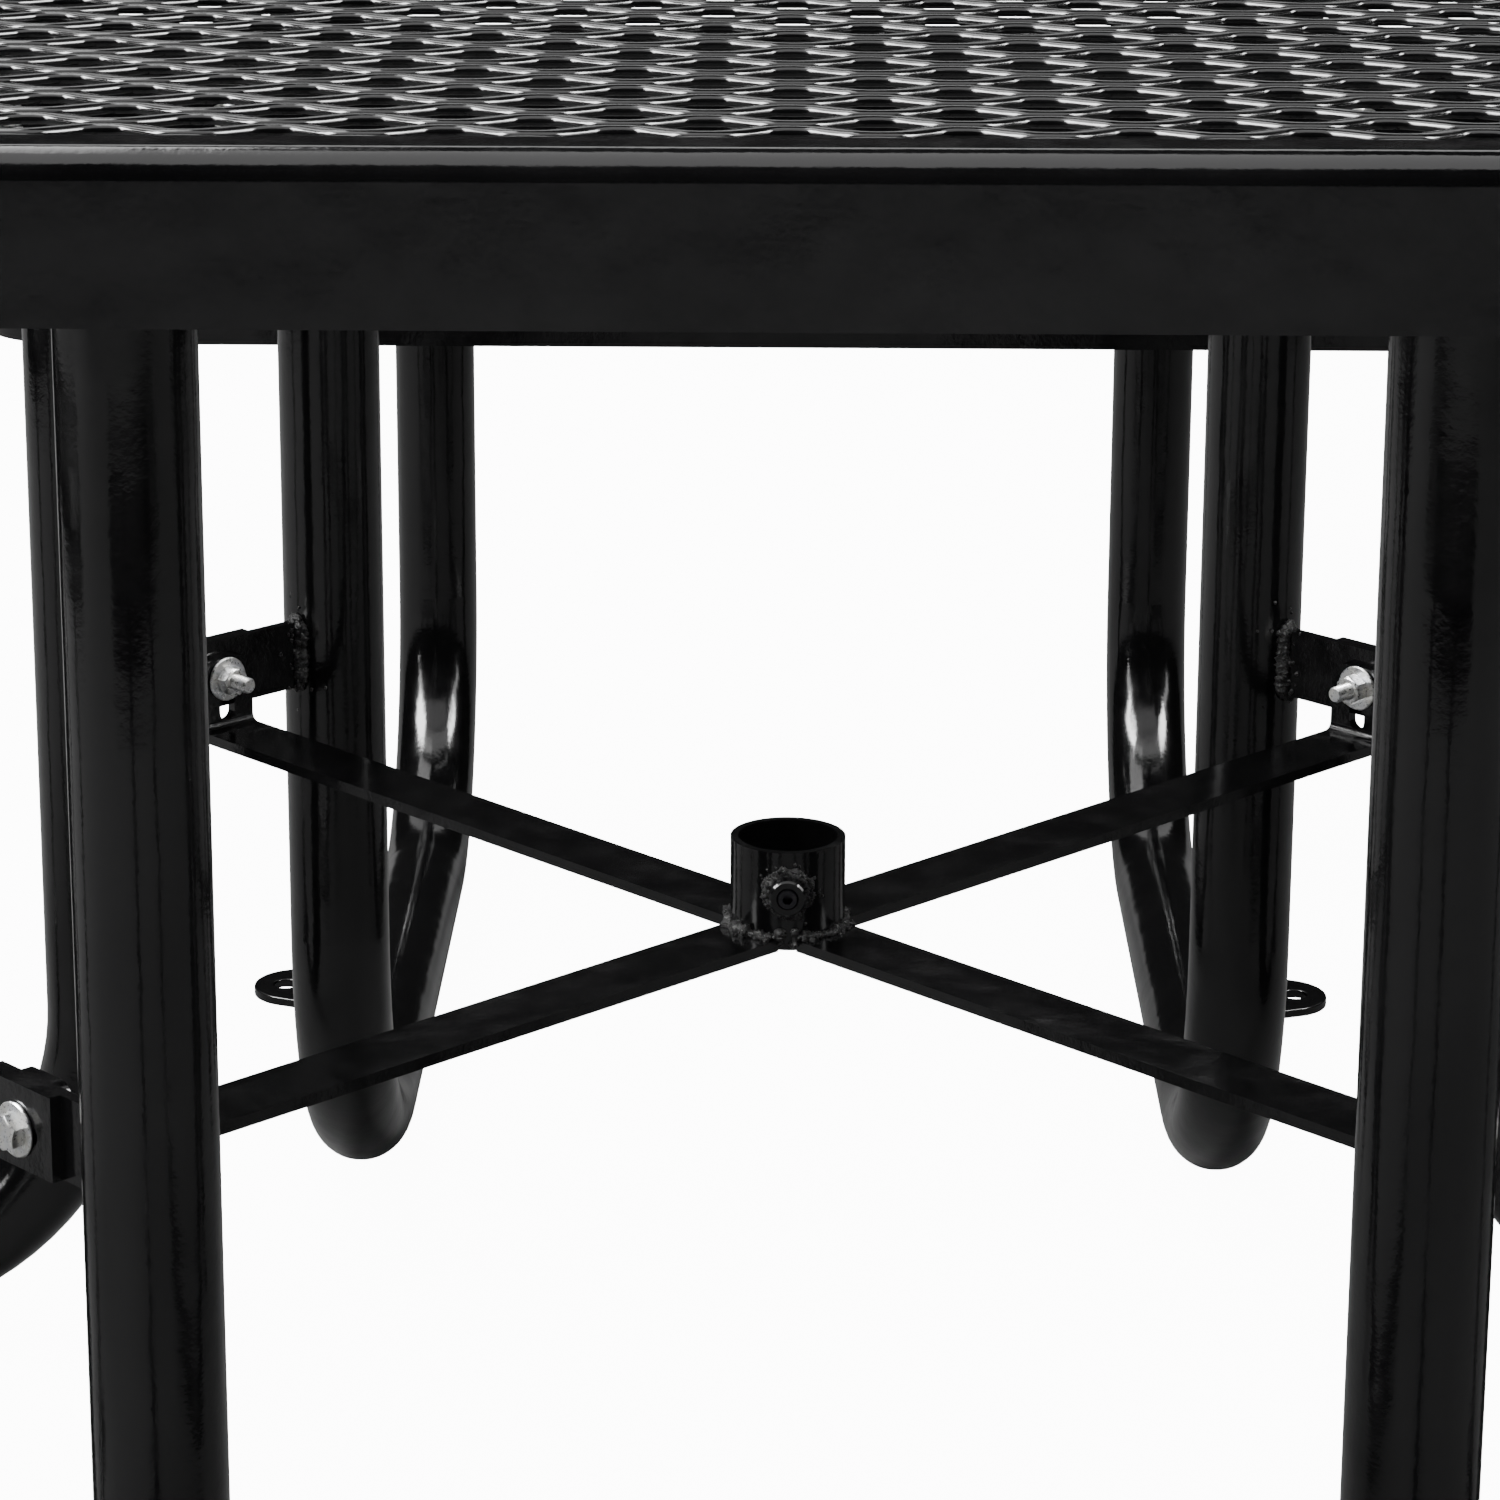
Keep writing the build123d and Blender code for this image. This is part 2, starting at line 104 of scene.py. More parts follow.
def ramp(tree, source, low, high, at=(0.35, 0.65)):
    """Maps a noise value to a range."""
    node = tree.nodes.new("ShaderNodeMapRange")
    node.inputs["From Min"].default_value = at[0]
    node.inputs["From Max"].default_value = at[1]
    node.inputs["To Min"].default_value = low
    node.inputs["To Max"].default_value = high
    tree.links.new(source, node.inputs["Value"])
    return node.outputs["Result"]


def color_between(tree, factor, first, second):
    node = tree.nodes.new("ShaderNodeMix")
    node.data_type = "RGBA"
    node.inputs["A"].default_value = (*first, 1)
    node.inputs["B"].default_value = (*second, 1)
    tree.links.new(factor, node.inputs["Factor"])
    return node.outputs["Result"]


def bump(tree, shader, layers):
    """Stacks bump layers, each (height socket, distance in metres, strength)."""
    normal = None
    for height, distance, strength in layers:
        node = tree.nodes.new("ShaderNodeBump")
        node.inputs["Distance"].default_value = distance
        node.inputs["Strength"].default_value = strength
        tree.links.new(height, node.inputs["Height"])
        if normal is not None:
            tree.links.new(normal, node.inputs["Normal"])
        normal = node.outputs["Normal"]
    tree.links.new(normal, shader.inputs["Normal"])


def coating(name, gloss, peel, specular):
    """Glossy black dip coating: orange peel, faint dust and cloudy gloss."""
    material, tree, shader = node_material(name, (0.006, 0.006, 0.0065), 0.0, gloss, specular)
    cloud = noise_node(tree, 9.0, 4.0)
    shade = ramp(tree, cloud.outputs["Fac"], 0.0, 1.0)
    tone = color_between(tree, shade, (0.0045, 0.0045, 0.005), (0.009, 0.009, 0.0095))
    tree.links.new(tone, shader.inputs["Base Color"])
    smear = noise_node(tree, 60.0, 5.0, 0.6)
    tree.links.new(ramp(tree, smear.outputs["Fac"], gloss * 0.8, gloss * 1.35), shader.inputs["Roughness"])
    fine = noise_node(tree, 420.0, 2.0)
    wave = noise_node(tree, 26.0, 2.0)
    layers = [(wave.outputs["Fac"], 0.0007 * peel, 1.0), (fine.outputs["Fac"], 0.00006 * peel, 1.0)]
    bump(tree, shader, layers)
    return material


def weld_material():
    """The same coating over rough weld metal, with painted shade darkening its pits."""
    material, tree, shader = node_material("weld_coating", (0.008, 0.008, 0.008), 0.0, 0.28, 0.5)
    lump = noise_node(tree, 380.0, 6.0, 0.7)
    pit = noise_node(tree, 1500.0, 3.0)
    tree.links.new(ramp(tree, lump.outputs["Fac"], 0.18, 0.42), shader.inputs["Roughness"])
    # The colour follows the noise that also raises the bump: an uneven tone, darker in the low pits as
    # painted shade and lighter on the raised spots.
    tone = color_between(tree, pit.outputs["Fac"], (0.005, 0.005, 0.005), (0.014, 0.013, 0.013))
    tree.links.new(tone, shader.inputs["Base Color"])
    bump(tree, shader, [(lump.outputs["Fac"], 0.0016, 1.0), (pit.outputs["Fac"], 0.0003, 0.7)])
    return material


def zinc_material():
    """Bright zinc plate with fine machining marks and a faint passivation tint."""
    material, tree, shader = node_material("zinc_plate", (0.86, 0.86, 0.85), 1.0, 0.3)
    tint = noise_node(tree, 160.0, 3.0)
    tone = color_between(tree, ramp(tree, tint.outputs["Fac"], 0, 1), (0.82, 0.83, 0.85), (0.90, 0.89, 0.85))
    tree.links.new(tone, shader.inputs["Base Color"])
    marks = noise_node(tree, 700.0, 3.0, 0.6)
    tree.links.new(ramp(tree, marks.outputs["Fac"], 0.24, 0.4), shader.inputs["Roughness"])
    bump(tree, shader, [(marks.outputs["Fac"], 0.00002, 1.0)])
    return material


def oxide_material():
    """Black-oxide steel of the set screw, with painted shade in its grain's low spots."""
    material, tree, shader = node_material("black_oxide", (0.05, 0.05, 0.055), 1.0, 0.38)
    grain = noise_node(tree, 1400.0, 4.0)
    tree.links.new(ramp(tree, grain.outputs["Fac"], 0.28, 0.5), shader.inputs["Roughness"])
    # The tone follows the grain noise that also drives the bump: an uneven tone of the steel, darker in the
    # grain's low spots as painted shade.
    tone = color_between(tree, grain.outputs["Fac"], (0.03, 0.03, 0.035), (0.08, 0.08, 0.085))
    tree.links.new(tone, shader.inputs["Base Color"])
    bump(tree, shader, [(grain.outputs["Fac"], 0.00005, 1.0)])
    return material


BLACK = coating("black_coating_gloss", 0.13, 1.0, 0.5)
MESH_BLACK = coating("mesh_coating_gloss", 0.16, 0.35, 0.5)
WELD = weld_material()
ZINC = zinc_material()
OXIDE = oxide_material()

# ---------------------------------------------------------------- mesh tools


def piece_from(name, vertices, faces, material, body=TABLE, sharp_angle=None):
    """Makes one mesh piece, smooth except at edges sharper than sharp_angle."""
    mesh = bpy.data.meshes.new(name)
    mesh.from_pydata([tuple(v) for v in vertices], [], [tuple(f) for f in faces])
    mesh.validate()
    mesh.polygons.foreach_set("use_smooth", [True] * len(mesh.polygons))
    if sharp_angle is not None:
        mesh.set_sharp_from_angle(angle=math.radians(sharp_angle))
    mesh.materials.append(material)
    mesh.update()
    piece = bpy.data.objects.new(name, mesh)
    bpy.context.scene.collection.objects.link(piece)
    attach(piece, body)
    return piece


class Shape:
    """Vertices and faces gathered from many small solids."""

    def __init__(self):
        self.vertices = []
        self.faces = []
        self.count = 0

    def add(self, vertices, faces):
        vertices = np.asarray(vertices, float).reshape(-1, 3)
        self.vertices.append(vertices)
        self.faces.extend([tuple(int(i) + self.count for i in face) for face in faces])
        self.count += len(vertices)

    def add_grid(self, rings, close_ends=True):
        """A skin over rings of points: rings has the shape (rings, points, 3)."""
        rings = np.asarray(rings, float)
        ring_count, side_count = rings.shape[:2]
        faces = []
        for i in range(ring_count - 1):
            for j in range(side_count):
                k = (j + 1) % side_count
                this, after = i * side_count, (i + 1) * side_count
                faces.append((this + j, this + k, after + k, after + j))
        if close_ends:
            faces.append(tuple(range(side_count - 1, -1, -1)))
            last = (ring_count - 1) * side_count
            faces.append(tuple(range(last, last + side_count)))
        self.add(rings.reshape(-1, 3), faces)

    def placed(self, matrix, offset):
        """All vertices turned by a 3x3 matrix and moved."""
        return np.concatenate(self.vertices) @ np.asarray(matrix).T + np.asarray(offset)


def turn_z(degrees):
    c, s = math.cos(math.radians(degrees)), math.sin(math.radians(degrees))
    return np.array([[c, -s, 0], [s, c, 0], [0, 0, 1]])


def repeat(shape, placements):
    """A shape copied to each (matrix, offset)."""
    result = Shape()
    for matrix, offset in placements:
        result.add(shape.placed(matrix, offset), shape.faces)
    return result


def make_piece(name, shape, material, body=TABLE, sharp_angle=None):
    return piece_from(name, np.concatenate(shape.vertices), shape.faces, material, body, sharp_angle)


# ---------------------------------------------------------------- expanded metal

LONG_WAY = 50.8 * MM
ROW_SPACING = 18.9 * MM
STRAND_WIDTH = 5.1 * MM
STRAND_THICKNESS = 3.3 * MM
STRAND_ROUND = 1.4 * MM
STRAND_TILT = math.radians(9)
BOND_SHARE = 0.2
STEPS_PER_PITCH = 16
MESH_PEAK_BELOW_LIP = 1.3 * MM


def strand_section():
    """Rounded rectangle of a coated strand, as offsets along its width and its normal."""
    half_width, half_thickness = STRAND_WIDTH / 2 - STRAND_ROUND, STRAND_THICKNESS / 2 - STRAND_ROUND
    points = []
    for corner, (side, face) in enumerate(((1, 1), (-1, 1), (-1, -1), (1, -1))):
        for step in range(3):
            angle = math.radians(90 * corner + 45 * step)
            across = side * half_width + STRAND_ROUND * math.cos(angle)
            points.append((across, face * half_thickness + STRAND_ROUND * math.sin(angle)))
    return points


def strand_swing(phase):
    """+1 where a strand is the raised back half of a bond, -1 where it is the low front half."""
    flat = BOND_SHARE / 2
    distance = np.abs((phase + 0.5) % 1.0 - 0.5)
    share = np.clip((distance - flat) / (0.5 - 2 * flat), 0, 1)
    eased = 0.75 * share + 0.25 * share * share * (3 - 2 * share)
    return 1 - 2 * eased


def inside_rounded(x, y, half_x, half_y, corner_r):
    """Whether points lie in a rounded rectangle."""
    over_x = np.maximum(np.abs(x) - (half_x - corner_r), 0)
    over_y = np.maximum(np.abs(y) - (half_y - corner_r), 0)
    return np.hypot(over_x, over_y) <= corner_r


def expanded_metal(half_x, half_y, corner_r, hole_r=0.0):
    """Raised expanded metal in the XY plane, centred on the origin, long way along X."""
    shape = Shape()
    section = np.array(strand_section())
    slope = np.array([0, math.cos(STRAND_TILT), math.sin(STRAND_TILT)])
    row_count = int(round(2 * half_y / ROW_SPACING))
    spacing = 2 * half_y / row_count
    step = LONG_WAY / STEPS_PER_PITCH
    x = np.arange(-half_x, half_x + step / 2, step)
    reach = STRAND_WIDTH / 2 * 0.97
    for row in range(-1, row_count + 1):
        swing = strand_swing(x / LONG_WAY + row / 2)
        bond_low_y = -half_y + row * spacing
        middle_y = bond_low_y + spacing / 2
        y = middle_y - swing * (spacing / 2 - reach * slope[1])
        z = swing * reach * slope[2]
        line = np.stack([x, y, z], axis=1)
        keep = inside_rounded(x, y, half_x, half_y, corner_r)
        if hole_r:
            keep &= np.hypot(x, y) > hole_r
        edges = np.flatnonzero(np.diff(np.concatenate([[0], keep.astype(int), [0]])))
        for start, end in zip(edges[::2], edges[1::2]):
            if end - start < 3:
                continue
            run = line[start:end]
            along = np.gradient(run, axis=0)
            along /= np.linalg.norm(along, axis=1, keepdims=True)
            width = slope - along * (along @ slope)[:, None]
            width /= np.linalg.norm(width, axis=1, keepdims=True)
            normal = np.cross(along, width)
            across = width[:, None] * section[None, :, :1]
            through = normal[:, None] * section[None, :, 1:]
            rings = run[:, None] + across + through
            shape.add_grid(rings)
    return shape


def mesh_pieces():
    """The expanded metal of the top and of each seat, inside their rims' flanges."""
    flange = 25 * MM
    overlap = 1.5 * MM
    half_height = STRAND_WIDTH * math.sin(STRAND_TILT) + STRAND_THICKNESS / 2 * math.cos(STRAND_TILT)
    rims = {"top_mesh": "top_rim"} | {f"{side}_seat_mesh": f"{side}_seat_rim" for side in QUARTER_TURNS}
    for node, rim in rims.items():
        low, high = (np.array(v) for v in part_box(rim))
        centre = (low + high) / 2
        half = (high - low) / 2 - flange + overlap
        turn = 0 if node == "top_mesh" else QUARTER_TURNS[node.split("_")[0]]
        if turn % 180:
            half = half[[1, 0, 2]]
        hole = HUB_R if node == "top_mesh" else 0.0
        shape = expanded_metal(half[0], half[1], 35 * MM, hole)
        centre[2] = high[2] - MESH_PEAK_BELOW_LIP - half_height
        placed = repeat(shape, [(turn_z(turn), centre)])
        piece = make_piece(f"{node}_strands", placed, MESH_BLACK)
        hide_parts(node)


mesh_pieces()

# ---------------------------------------------------------------- fasteners

HEX_FLATS = 13 * MM
BOLT_R = 4 * MM
THREAD_PITCH = 1.25 * MM
THREAD_DEPTH = 0.62 * MM
ROUND_STEPS = 48


def circle(radius, z, steps=ROUND_STEPS):
    angle = np.arange(steps) * 2 * math.pi / steps
    radius = np.broadcast_to(radius, angle.shape)
    height = np.broadcast_to(z, angle.shape)
    return np.stack([radius * np.cos(angle), radius * np.sin(angle), height], axis=1)


def hex_radius(steps=ROUND_STEPS):
    """Distance from the axis to a hexagon, all the way round."""
    angle = np.arange(steps) * 2 * math.pi / steps
    from_flat = (angle + math.pi / 6) % (math.pi / 3) - math.pi / 6
    return HEX_FLATS / 2 / np.cos(from_flat)


def hex_rings(height, both_ends):
    """Rings up the outside of a hex head or nut, chamfered at its top or at both ends."""
    flat_r = HEX_FLATS / 2 * 0.94
    drop = (hex_radius() - flat_r) * math.tan(math.radians(28))
    rings = [circle(flat_r, 0), circle(hex_radius(), drop if both_ends else 0)]
    if not both_ends:
        rings = [circle(hex_radius(), 0)]
    rings += [circle(hex_radius(), height - drop), circle(flat_r, height), circle(flat_r * 0.97, height)]
    return rings


def thread_rings(radius, start_z, end_z, tip=True):
    """Rings of a threaded shank from start_z to end_z, with a chamfered tip."""
    steps = int((end_z - start_z) / THREAD_PITCH * 8)
    angle = np.arange(ROUND_STEPS) / ROUND_STEPS
    rings = []
    for i in range(steps + 1):
        z = start_z + (end_z - start_z) * i / steps
        wave = np.abs(((z / THREAD_PITCH - angle) % 1.0) * 2 - 1)
        r = radius - THREAD_DEPTH * np.clip(wave * 1.25 - 0.12, 0, 1)
        if tip:
            r = np.minimum(r, radius - THREAD_DEPTH * 1.3 + max(end_z - z, 0) * 0.9)
        rings.append(circle(r, z))
    return rings


def bolt_shape(head_height, shank, thread):
    """Hex bolt with its head's underside at z = 0: the head goes up, the shank down to -shank."""
    shape = Shape()
    shape.add_grid(hex_rings(head_height, both_ends=False))
    down = thread_rings(BOLT_R, shank - thread, shank)
    rings = [circle(BOLT_R, 0.0), circle(BOLT_R, shank - thread)] + down
    flipped = np.array(rings) * (1, -1, -1)
    shape.add_grid(flipped)
    return shape


def nut_shape(height):
    """Hex nut from z = 0 up, with a countersunk bore."""
    shape = Shape()
    bore = BOLT_R + 0.05 * MM
    sink = 0.5 * MM
    outer = hex_rings(height, both_ends=True)
    inner = [
        circle(bore + sink, height), circle(bore, height - sink),
        circle(bore, sink), circle(bore + sink, 0),
    ]
    shape.add_grid(outer + inner + [outer[0]], close_ends=False)
    return shape


def washer_shape(outer_r, inner_r, sheet):
    """Flat washer from z = 0 up, with a stamped rounded edge."""
    shape = Shape()
    edge = sheet * 0.3
    rings = [
        circle(inner_r, 0), circle(outer_r - edge, 0),
        circle(outer_r, edge), circle(outer_r, sheet - edge),
        circle(outer_r - edge, sheet), circle(inner_r + edge, sheet),
        circle(inner_r, sheet - edge), circle(inner_r, 0),
    ]
    shape.add_grid(rings, close_ends=False)
    return shape


def facing_out(corner, distance, spin=0.0):
    """Placement at a corner's bolt, with local +Z pointing away from the hub."""
    outward = turn_z(CORNER_TURNS[corner]) @ np.array([1.0, 0, 0])
    across = turn_z(CORNER_TURNS[corner]) @ np.array([0, 1.0, 0])
    up = np.cross(outward, across)
    basis = np.stack([across, up, outward], axis=1)
    bolt_z = EAR_LOW_Z[corner] + EAR_BOLT_HEIGHT
    return basis @ turn_z(spin), outward * distance + np.array([0, 0, bolt_z])


def corner_fasteners():
    """Bolt, two washers and nut at each corner, each bolt turned a little differently."""
    ear_outside = CORNER_DISTANCE + EAR_SHEET
    tab_inside = CORNER_DISTANCE - 2 * EAR_SHEET
    sheet, head, nut, past = 1.6 * MM, 5.3 * MM, 6.8 * MM, 10 * MM
    shank = ear_outside + sheet - (tab_inside - sheet - nut - past)
    spins = dict(zip(CORNER_TURNS, (12, 38, 25, 51)))
    bolts = [facing_out(corner, ear_outside + sheet, spins[corner]) for corner in CORNER_TURNS]
    nuts = [facing_out(corner, tab_inside - sheet - nut, 17 + spins[corner]) for corner in CORNER_TURNS]
    washer_places = (ear_outside, tab_inside - sheet)
    washers = [facing_out(corner, place) for corner in CORNER_TURNS for place in washer_places]
    kinds = [
        ("corner_bolts", bolt_shape(head, shank, 22 * MM), bolts),
        ("corner_nuts", nut_shape(nut), nuts),
        ("corner_washers", washer_shape(11 * MM, 4.5 * MM, sheet), washers),
    ]
    for node, shape, places in kinds:
        piece = make_piece(f"{node}_zinc", repeat(shape, places), ZINC, sharp_angle=32)
        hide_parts(node)


def plate_fasteners():
    """Bolts and nuts through the leg plates, heads down."""
    plate_z = {LEG_TOP_Z: (40 * MM, 0), LEG_SEAT_Z: (0, 40 * MM)}
    down = np.diag([1.0, -1.0, -1.0])
    stack = 9 * MM
    bolts, nuts = [], []
    for turn in QUARTER_TURNS.values():
        for z, (dx, dy) in plate_z.items():
            y = -LEG_Y if z == LEG_TOP_Z else -SEAT_Y
            for x in (-LEG_X, LEG_X):
                for side in (-1, 1):
                    spot = turn_z(turn) @ np.array([x + side * dx, y + side * dy, z])
                    bolts.append((down, spot))
                    nuts.append((turn_z(20 + 31 * len(nuts)), spot + np.array([0, 0, stack])))
    shank = stack + 6.8 * MM + 4 * MM
    for node, shape, places in [
        ("plate_bolts", bolt_shape(5.3 * MM, shank, 12 * MM), bolts),
        ("plate_nuts", nut_shape(6.8 * MM), nuts),
    ]:
        piece = make_piece(f"{node}_zinc", repeat(shape, places), ZINC, sharp_angle=32)
        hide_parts(node)


corner_fasteners()
plate_fasteners()

# ---------------------------------------------------------------- welds

random = np.random.default_rng(7)
BEAD_SIDES = 10


def bead(shape, points, radius, rough=1.0, closed=False):
    """A weld bead along points: overlapping ripples of uneven size."""
    points = np.asarray(points, float)
    length = np.linalg.norm(np.diff(points, axis=0), axis=1).sum()
    count = max(int(length / (radius * 0.3)), 6)
    travel = np.concatenate([[0], np.cumsum(np.linalg.norm(np.diff(points, axis=0), axis=1))])
    at = np.linspace(0, length, count)
    line = np.stack([np.interp(at, travel, points[:, k]) for k in range(3)], axis=1)
    along = np.gradient(line, axis=0)
    along /= np.linalg.norm(along, axis=1, keepdims=True)
    helper = np.where(np.abs(along[:, 2:3]) > 0.8, [[1.0, 0, 0]], [[0, 0, 1.0]])
    side = np.cross(along, helper)
    side /= np.linalg.norm(side, axis=1, keepdims=True)
    up = np.cross(side, along)
    angle = np.arange(BEAD_SIDES) * 2 * math.pi / BEAD_SIDES
    ripple = 1 + 0.13 * np.cos(at / (radius * 1.1) * 2 * math.pi)
    wander = np.convolve(random.normal(0, 1, count + 6), np.ones(7) / 7, "valid") * 0.4 * rough
    size = radius * np.clip(ripple + wander, 0.55, 1.6)
    if not closed:
        size *= np.minimum(1, 0.45 + np.minimum(at, length - at) / (radius * 1.5))
    lumps = 1 + random.normal(0, 0.1 * rough, (count, BEAD_SIDES))
    rings = line[:, None] + size[:, None, None] * lumps[:, :, None] * (
        side[:, None] * np.cos(angle)[None, :, None] + up[:, None] * np.sin(angle)[None, :, None]
    )
    shape.add_grid(rings)


def lump(shape, centre, radius):
    """One uneven droplet of weld metal."""
    profile = (0.3, 0.95, 1.6, 2.2, 2.8)
    rings = []
    for polar in profile:
        ring = circle(radius * math.sin(polar), radius * math.cos(polar), 8)
        rings.append(centre + ring * random.uniform(0.75, 1.25, (8, 1)))
    shape.add_grid(rings)


def arc_points(centre, radius, start, end, z, steps=24):
    angle = np.radians(np.linspace(start, end, steps))
    x = centre[0] + radius * np.cos(angle)
    y = centre[1] + radius * np.sin(angle)
    return np.stack([x, y, np.full(steps, z)], axis=1)


def ear_weld(shape, rotation, hand, face, low_z):
    """The lumpy weld between one ear and its tube; face is the side of the corner plane it is on."""
    high_z = low_z + EAR_HEIGHT
    tube_y = -hand * CORNER_HALF_SPAN
    for offset in (0, face * EAR_SHEET):
        outside = math.copysign(1, offset - face * EAR_SHEET / 2)
        y = tube_y + hand * (math.sqrt(TUBE_R**2 - offset**2) + 0.6 * MM)
        x = CORNER_DISTANCE + offset + outside * 0.5 * MM
        for step, radius in ((0, 2.9 * MM), (2.6 * MM, 1.9 * MM)):
            at_y = y + hand * step
            heights = (low_z - 0.5 * MM, (low_z + high_z) / 2, high_z + 0.5 * MM)
            line = [(x, at_y, height) for height in heights]
            bead(shape, np.array(line) @ rotation.T, radius, rough=1.6)
        for _ in range(46):
            reach = abs(random.normal(0, 1)) * 4.5 * MM
            spot = np.array([x - outside * 0.3 * MM, y + hand * reach, random.uniform(low_z, high_z)])
            lump(shape, rotation @ spot, random.uniform(0.5, 1.3) * MM)
    middle = CORNER_DISTANCE + face * EAR_SHEET / 2
    y = tube_y + hand * (TUBE_R + 0.3 * MM)
    for z in (low_z - 0.6 * MM, high_z + 0.6 * MM):
        line = [(middle - 3.5 * MM, y, z), (middle, y + hand * 2 * MM, z), (middle + 3.5 * MM, y, z)]
        bead(shape, np.array(line) @ rotation.T, 2.8 * MM, rough=1.8)
        for _ in range(9):
            around = random.normal(0, 0.35)
            surface = TUBE_R + 0.1 * MM
            spot_y = tube_y + hand * surface * math.cos(around)
            spot = np.array([middle + surface * math.sin(around), spot_y, z + random.normal(0, 7) * MM])
            lump(shape, rotation @ spot, random.uniform(0.4, 1.0) * MM)


def corner_welds():
    """Welds where the ears meet the tubes."""
    shape = Shape()
    for corner, turn in CORNER_TURNS.items():
        front_hand = 1 if corner in ("front_right", "back_left") else -1
        for hand, face in ((front_hand, -1), (-front_hand, 1)):
            ear_weld(shape, turn_z(turn), hand, face, EAR_LOW_Z[corner])
    make_piece("corner_ear_welds", shape, WELD)


def hub_welds():
    """Lumpy beads at the ends of the brace bars, and the ring round the weld nut."""
    shape = Shape()
    low, top = HUB_LOW[2], HUB_LOW[2] + BAR_SHEET
    half_angle = math.degrees(math.asin(BAR_WIDTH / 2 / HUB_R)) - 5
    for turn in CORNER_TURNS.values():
        for z, radius in ((top + 0.8 * MM, 2.3 * MM), (low + 0.9 * MM, 2.0 * MM)):
            arc = arc_points((0, 0), HUB_R + 0.9 * MM, turn - half_angle, turn + half_angle, z)
            bead(shape, arc, radius, rough=1.9)
        for _ in range(26):
            angle = math.radians(turn + random.uniform(-half_angle, half_angle))
            reach = HUB_R + abs(random.normal(0, 2.6)) * MM
            height = top + random.uniform(-0.3, 1.2) * MM
            spot = np.array([reach * math.cos(angle), reach * math.sin(angle), height])
            lump(shape, spot, random.uniform(0.5, 1.5) * MM)
        for hand in (-1, 1):
            angle = math.radians(turn + hand * (half_angle + 3))
            x, y = (HUB_R + 0.3 * MM) * math.cos(angle), (HUB_R + 0.3 * MM) * math.sin(angle)
            upright = [(x, y, height) for height in (low + MM, (low + top) / 2, top + 5 * MM)]
            bead(shape, upright, 1.9 * MM, rough=1.6)
    nut_r = (NUT_HIGH[0] - NUT_LOW[0]) / 2
    for reach, radius in ((0.2 * MM, 1.9 * MM), (2.3 * MM, 1.3 * MM)):
        ring = []
        for angle in np.radians(np.arange(0, 361, 15)):
            x, z = (nut_r + reach) * math.cos(angle), (nut_r + reach) * math.sin(angle)
            ring.append((x, -math.sqrt((HUB_R + 0.2 * MM) ** 2 - x * x), NUT_Z + z))
        bead(shape, ring, radius, rough=2.2, closed=True)
    for _ in range(70):
        angle, reach = random.uniform(0, 2 * math.pi), nut_r + abs(random.normal(0, 3.0)) * MM
        x, z = reach * math.cos(angle), reach * math.sin(angle)
        spot = np.array([x, -math.sqrt(HUB_R**2 - x * x), NUT_Z + z])
        lump(shape, spot, random.uniform(0.3, 0.9) * MM)
    make_piece("hub_welds", shape, WELD)


def leg_welds():
    """Beads round the leg ends under their plates, and along the foot tabs."""
    shape = Shape()
    tab_low, tab_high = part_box("front_foot_tabs")
    tab_y = (tab_low[1] + tab_high[1]) / 2
    for turn in QUARTER_TURNS.values():
        rotation = turn_z(turn)
        for x in (-LEG_X, LEG_X):
            for y, z in ((-LEG_Y, LEG_TOP_Z), (-SEAT_Y, LEG_SEAT_Z)):
                ring = arc_points((x, y), TUBE_R + 0.5 * MM, 0, 360, z - 1.2 * MM, 60)
                bead(shape, ring @ rotation.T, 2.0 * MM, closed=True)
            hand = math.copysign(1, x)
            edge = x + hand * 16.5 * MM
            line = [(edge, tab_y + along * MM, 5.4 * MM) for along in (-38, 0, 38)]
            bead(shape, np.array(line) @ rotation.T, 2.4 * MM)
    make_piece("leg_welds", shape, WELD)


corner_welds()
hub_welds()
leg_welds()

# ---------------------------------------------------------------- CAD nodes that stay, with their looks

for name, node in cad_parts.items():
    look = BLACK
    if name == "umbrella_set_screw":
        look = OXIDE
    elif name.startswith(("corner_", "plate_")):
        look = ZINC
    for slot in node.material_slots:
        slot.material = look

# ---------------------------------------------------------------- floor, light and camera

FLOOR_GLOW = 12.0
FLOOR_REFLECTED = (0.42, 0.42, 0.42)
WORLD_REFLECTED = 0.02


def stage_plane(name, size, z, material):
    mesh = bpy.data.meshes.new(name)
    corners = [(-size, -size, z), (size, -size, z), (size, size, z), (-size, size, z)]
    mesh.from_pydata(corners, [], [(0, 1, 2, 3)])
    mesh.materials.append(material)
    plane = bpy.data.objects.new(name, mesh)
    bpy.context.scene.collection.objects.link(plane)


def camera_ray_mix(tree, seen, reflected):
    """Shows one look to the camera and another to reflections, as a photo studio does with cards."""
    path = tree.nodes.new("ShaderNodeLightPath")
    mix = tree.nodes.new("ShaderNodeMixShader")
    tree.links.new(path.outputs["Is Camera Ray"], mix.inputs["Fac"])
    tree.links.new(reflected, mix.inputs[1])
    tree.links.new(seen, mix.inputs[2])
    return mix.outputs["Shader"]


def floor_material():
    """White seamless floor with the faintest mottling, which the coating reflects as a grey one."""
    material, tree, shader = node_material("pale_floor", (0.9, 0.9, 0.9), 0.0, 0.9, 0.1)
    cloud = noise_node(tree, 0.8, 2.0)
    tone = color_between(tree, cloud.outputs["Fac"], (0.89, 0.89, 0.89), (0.91, 0.91, 0.91))
    tree.links.new(tone, shader.inputs["Base Color"])
    shader.inputs["Emission Color"].default_value = (1, 1, 1, 1)
    shader.inputs["Emission Strength"].default_value = FLOOR_GLOW
    grey = tree.nodes.new("ShaderNodeBsdfDiffuse")
    grey.inputs["Color"].default_value = (*FLOOR_REFLECTED, 1)
    output = tree.nodes["Material Output"]
    mixed = camera_ray_mix(tree, shader.outputs["BSDF"], grey.outputs["BSDF"])
    tree.links.new(mixed, output.inputs["Surface"])
    return material


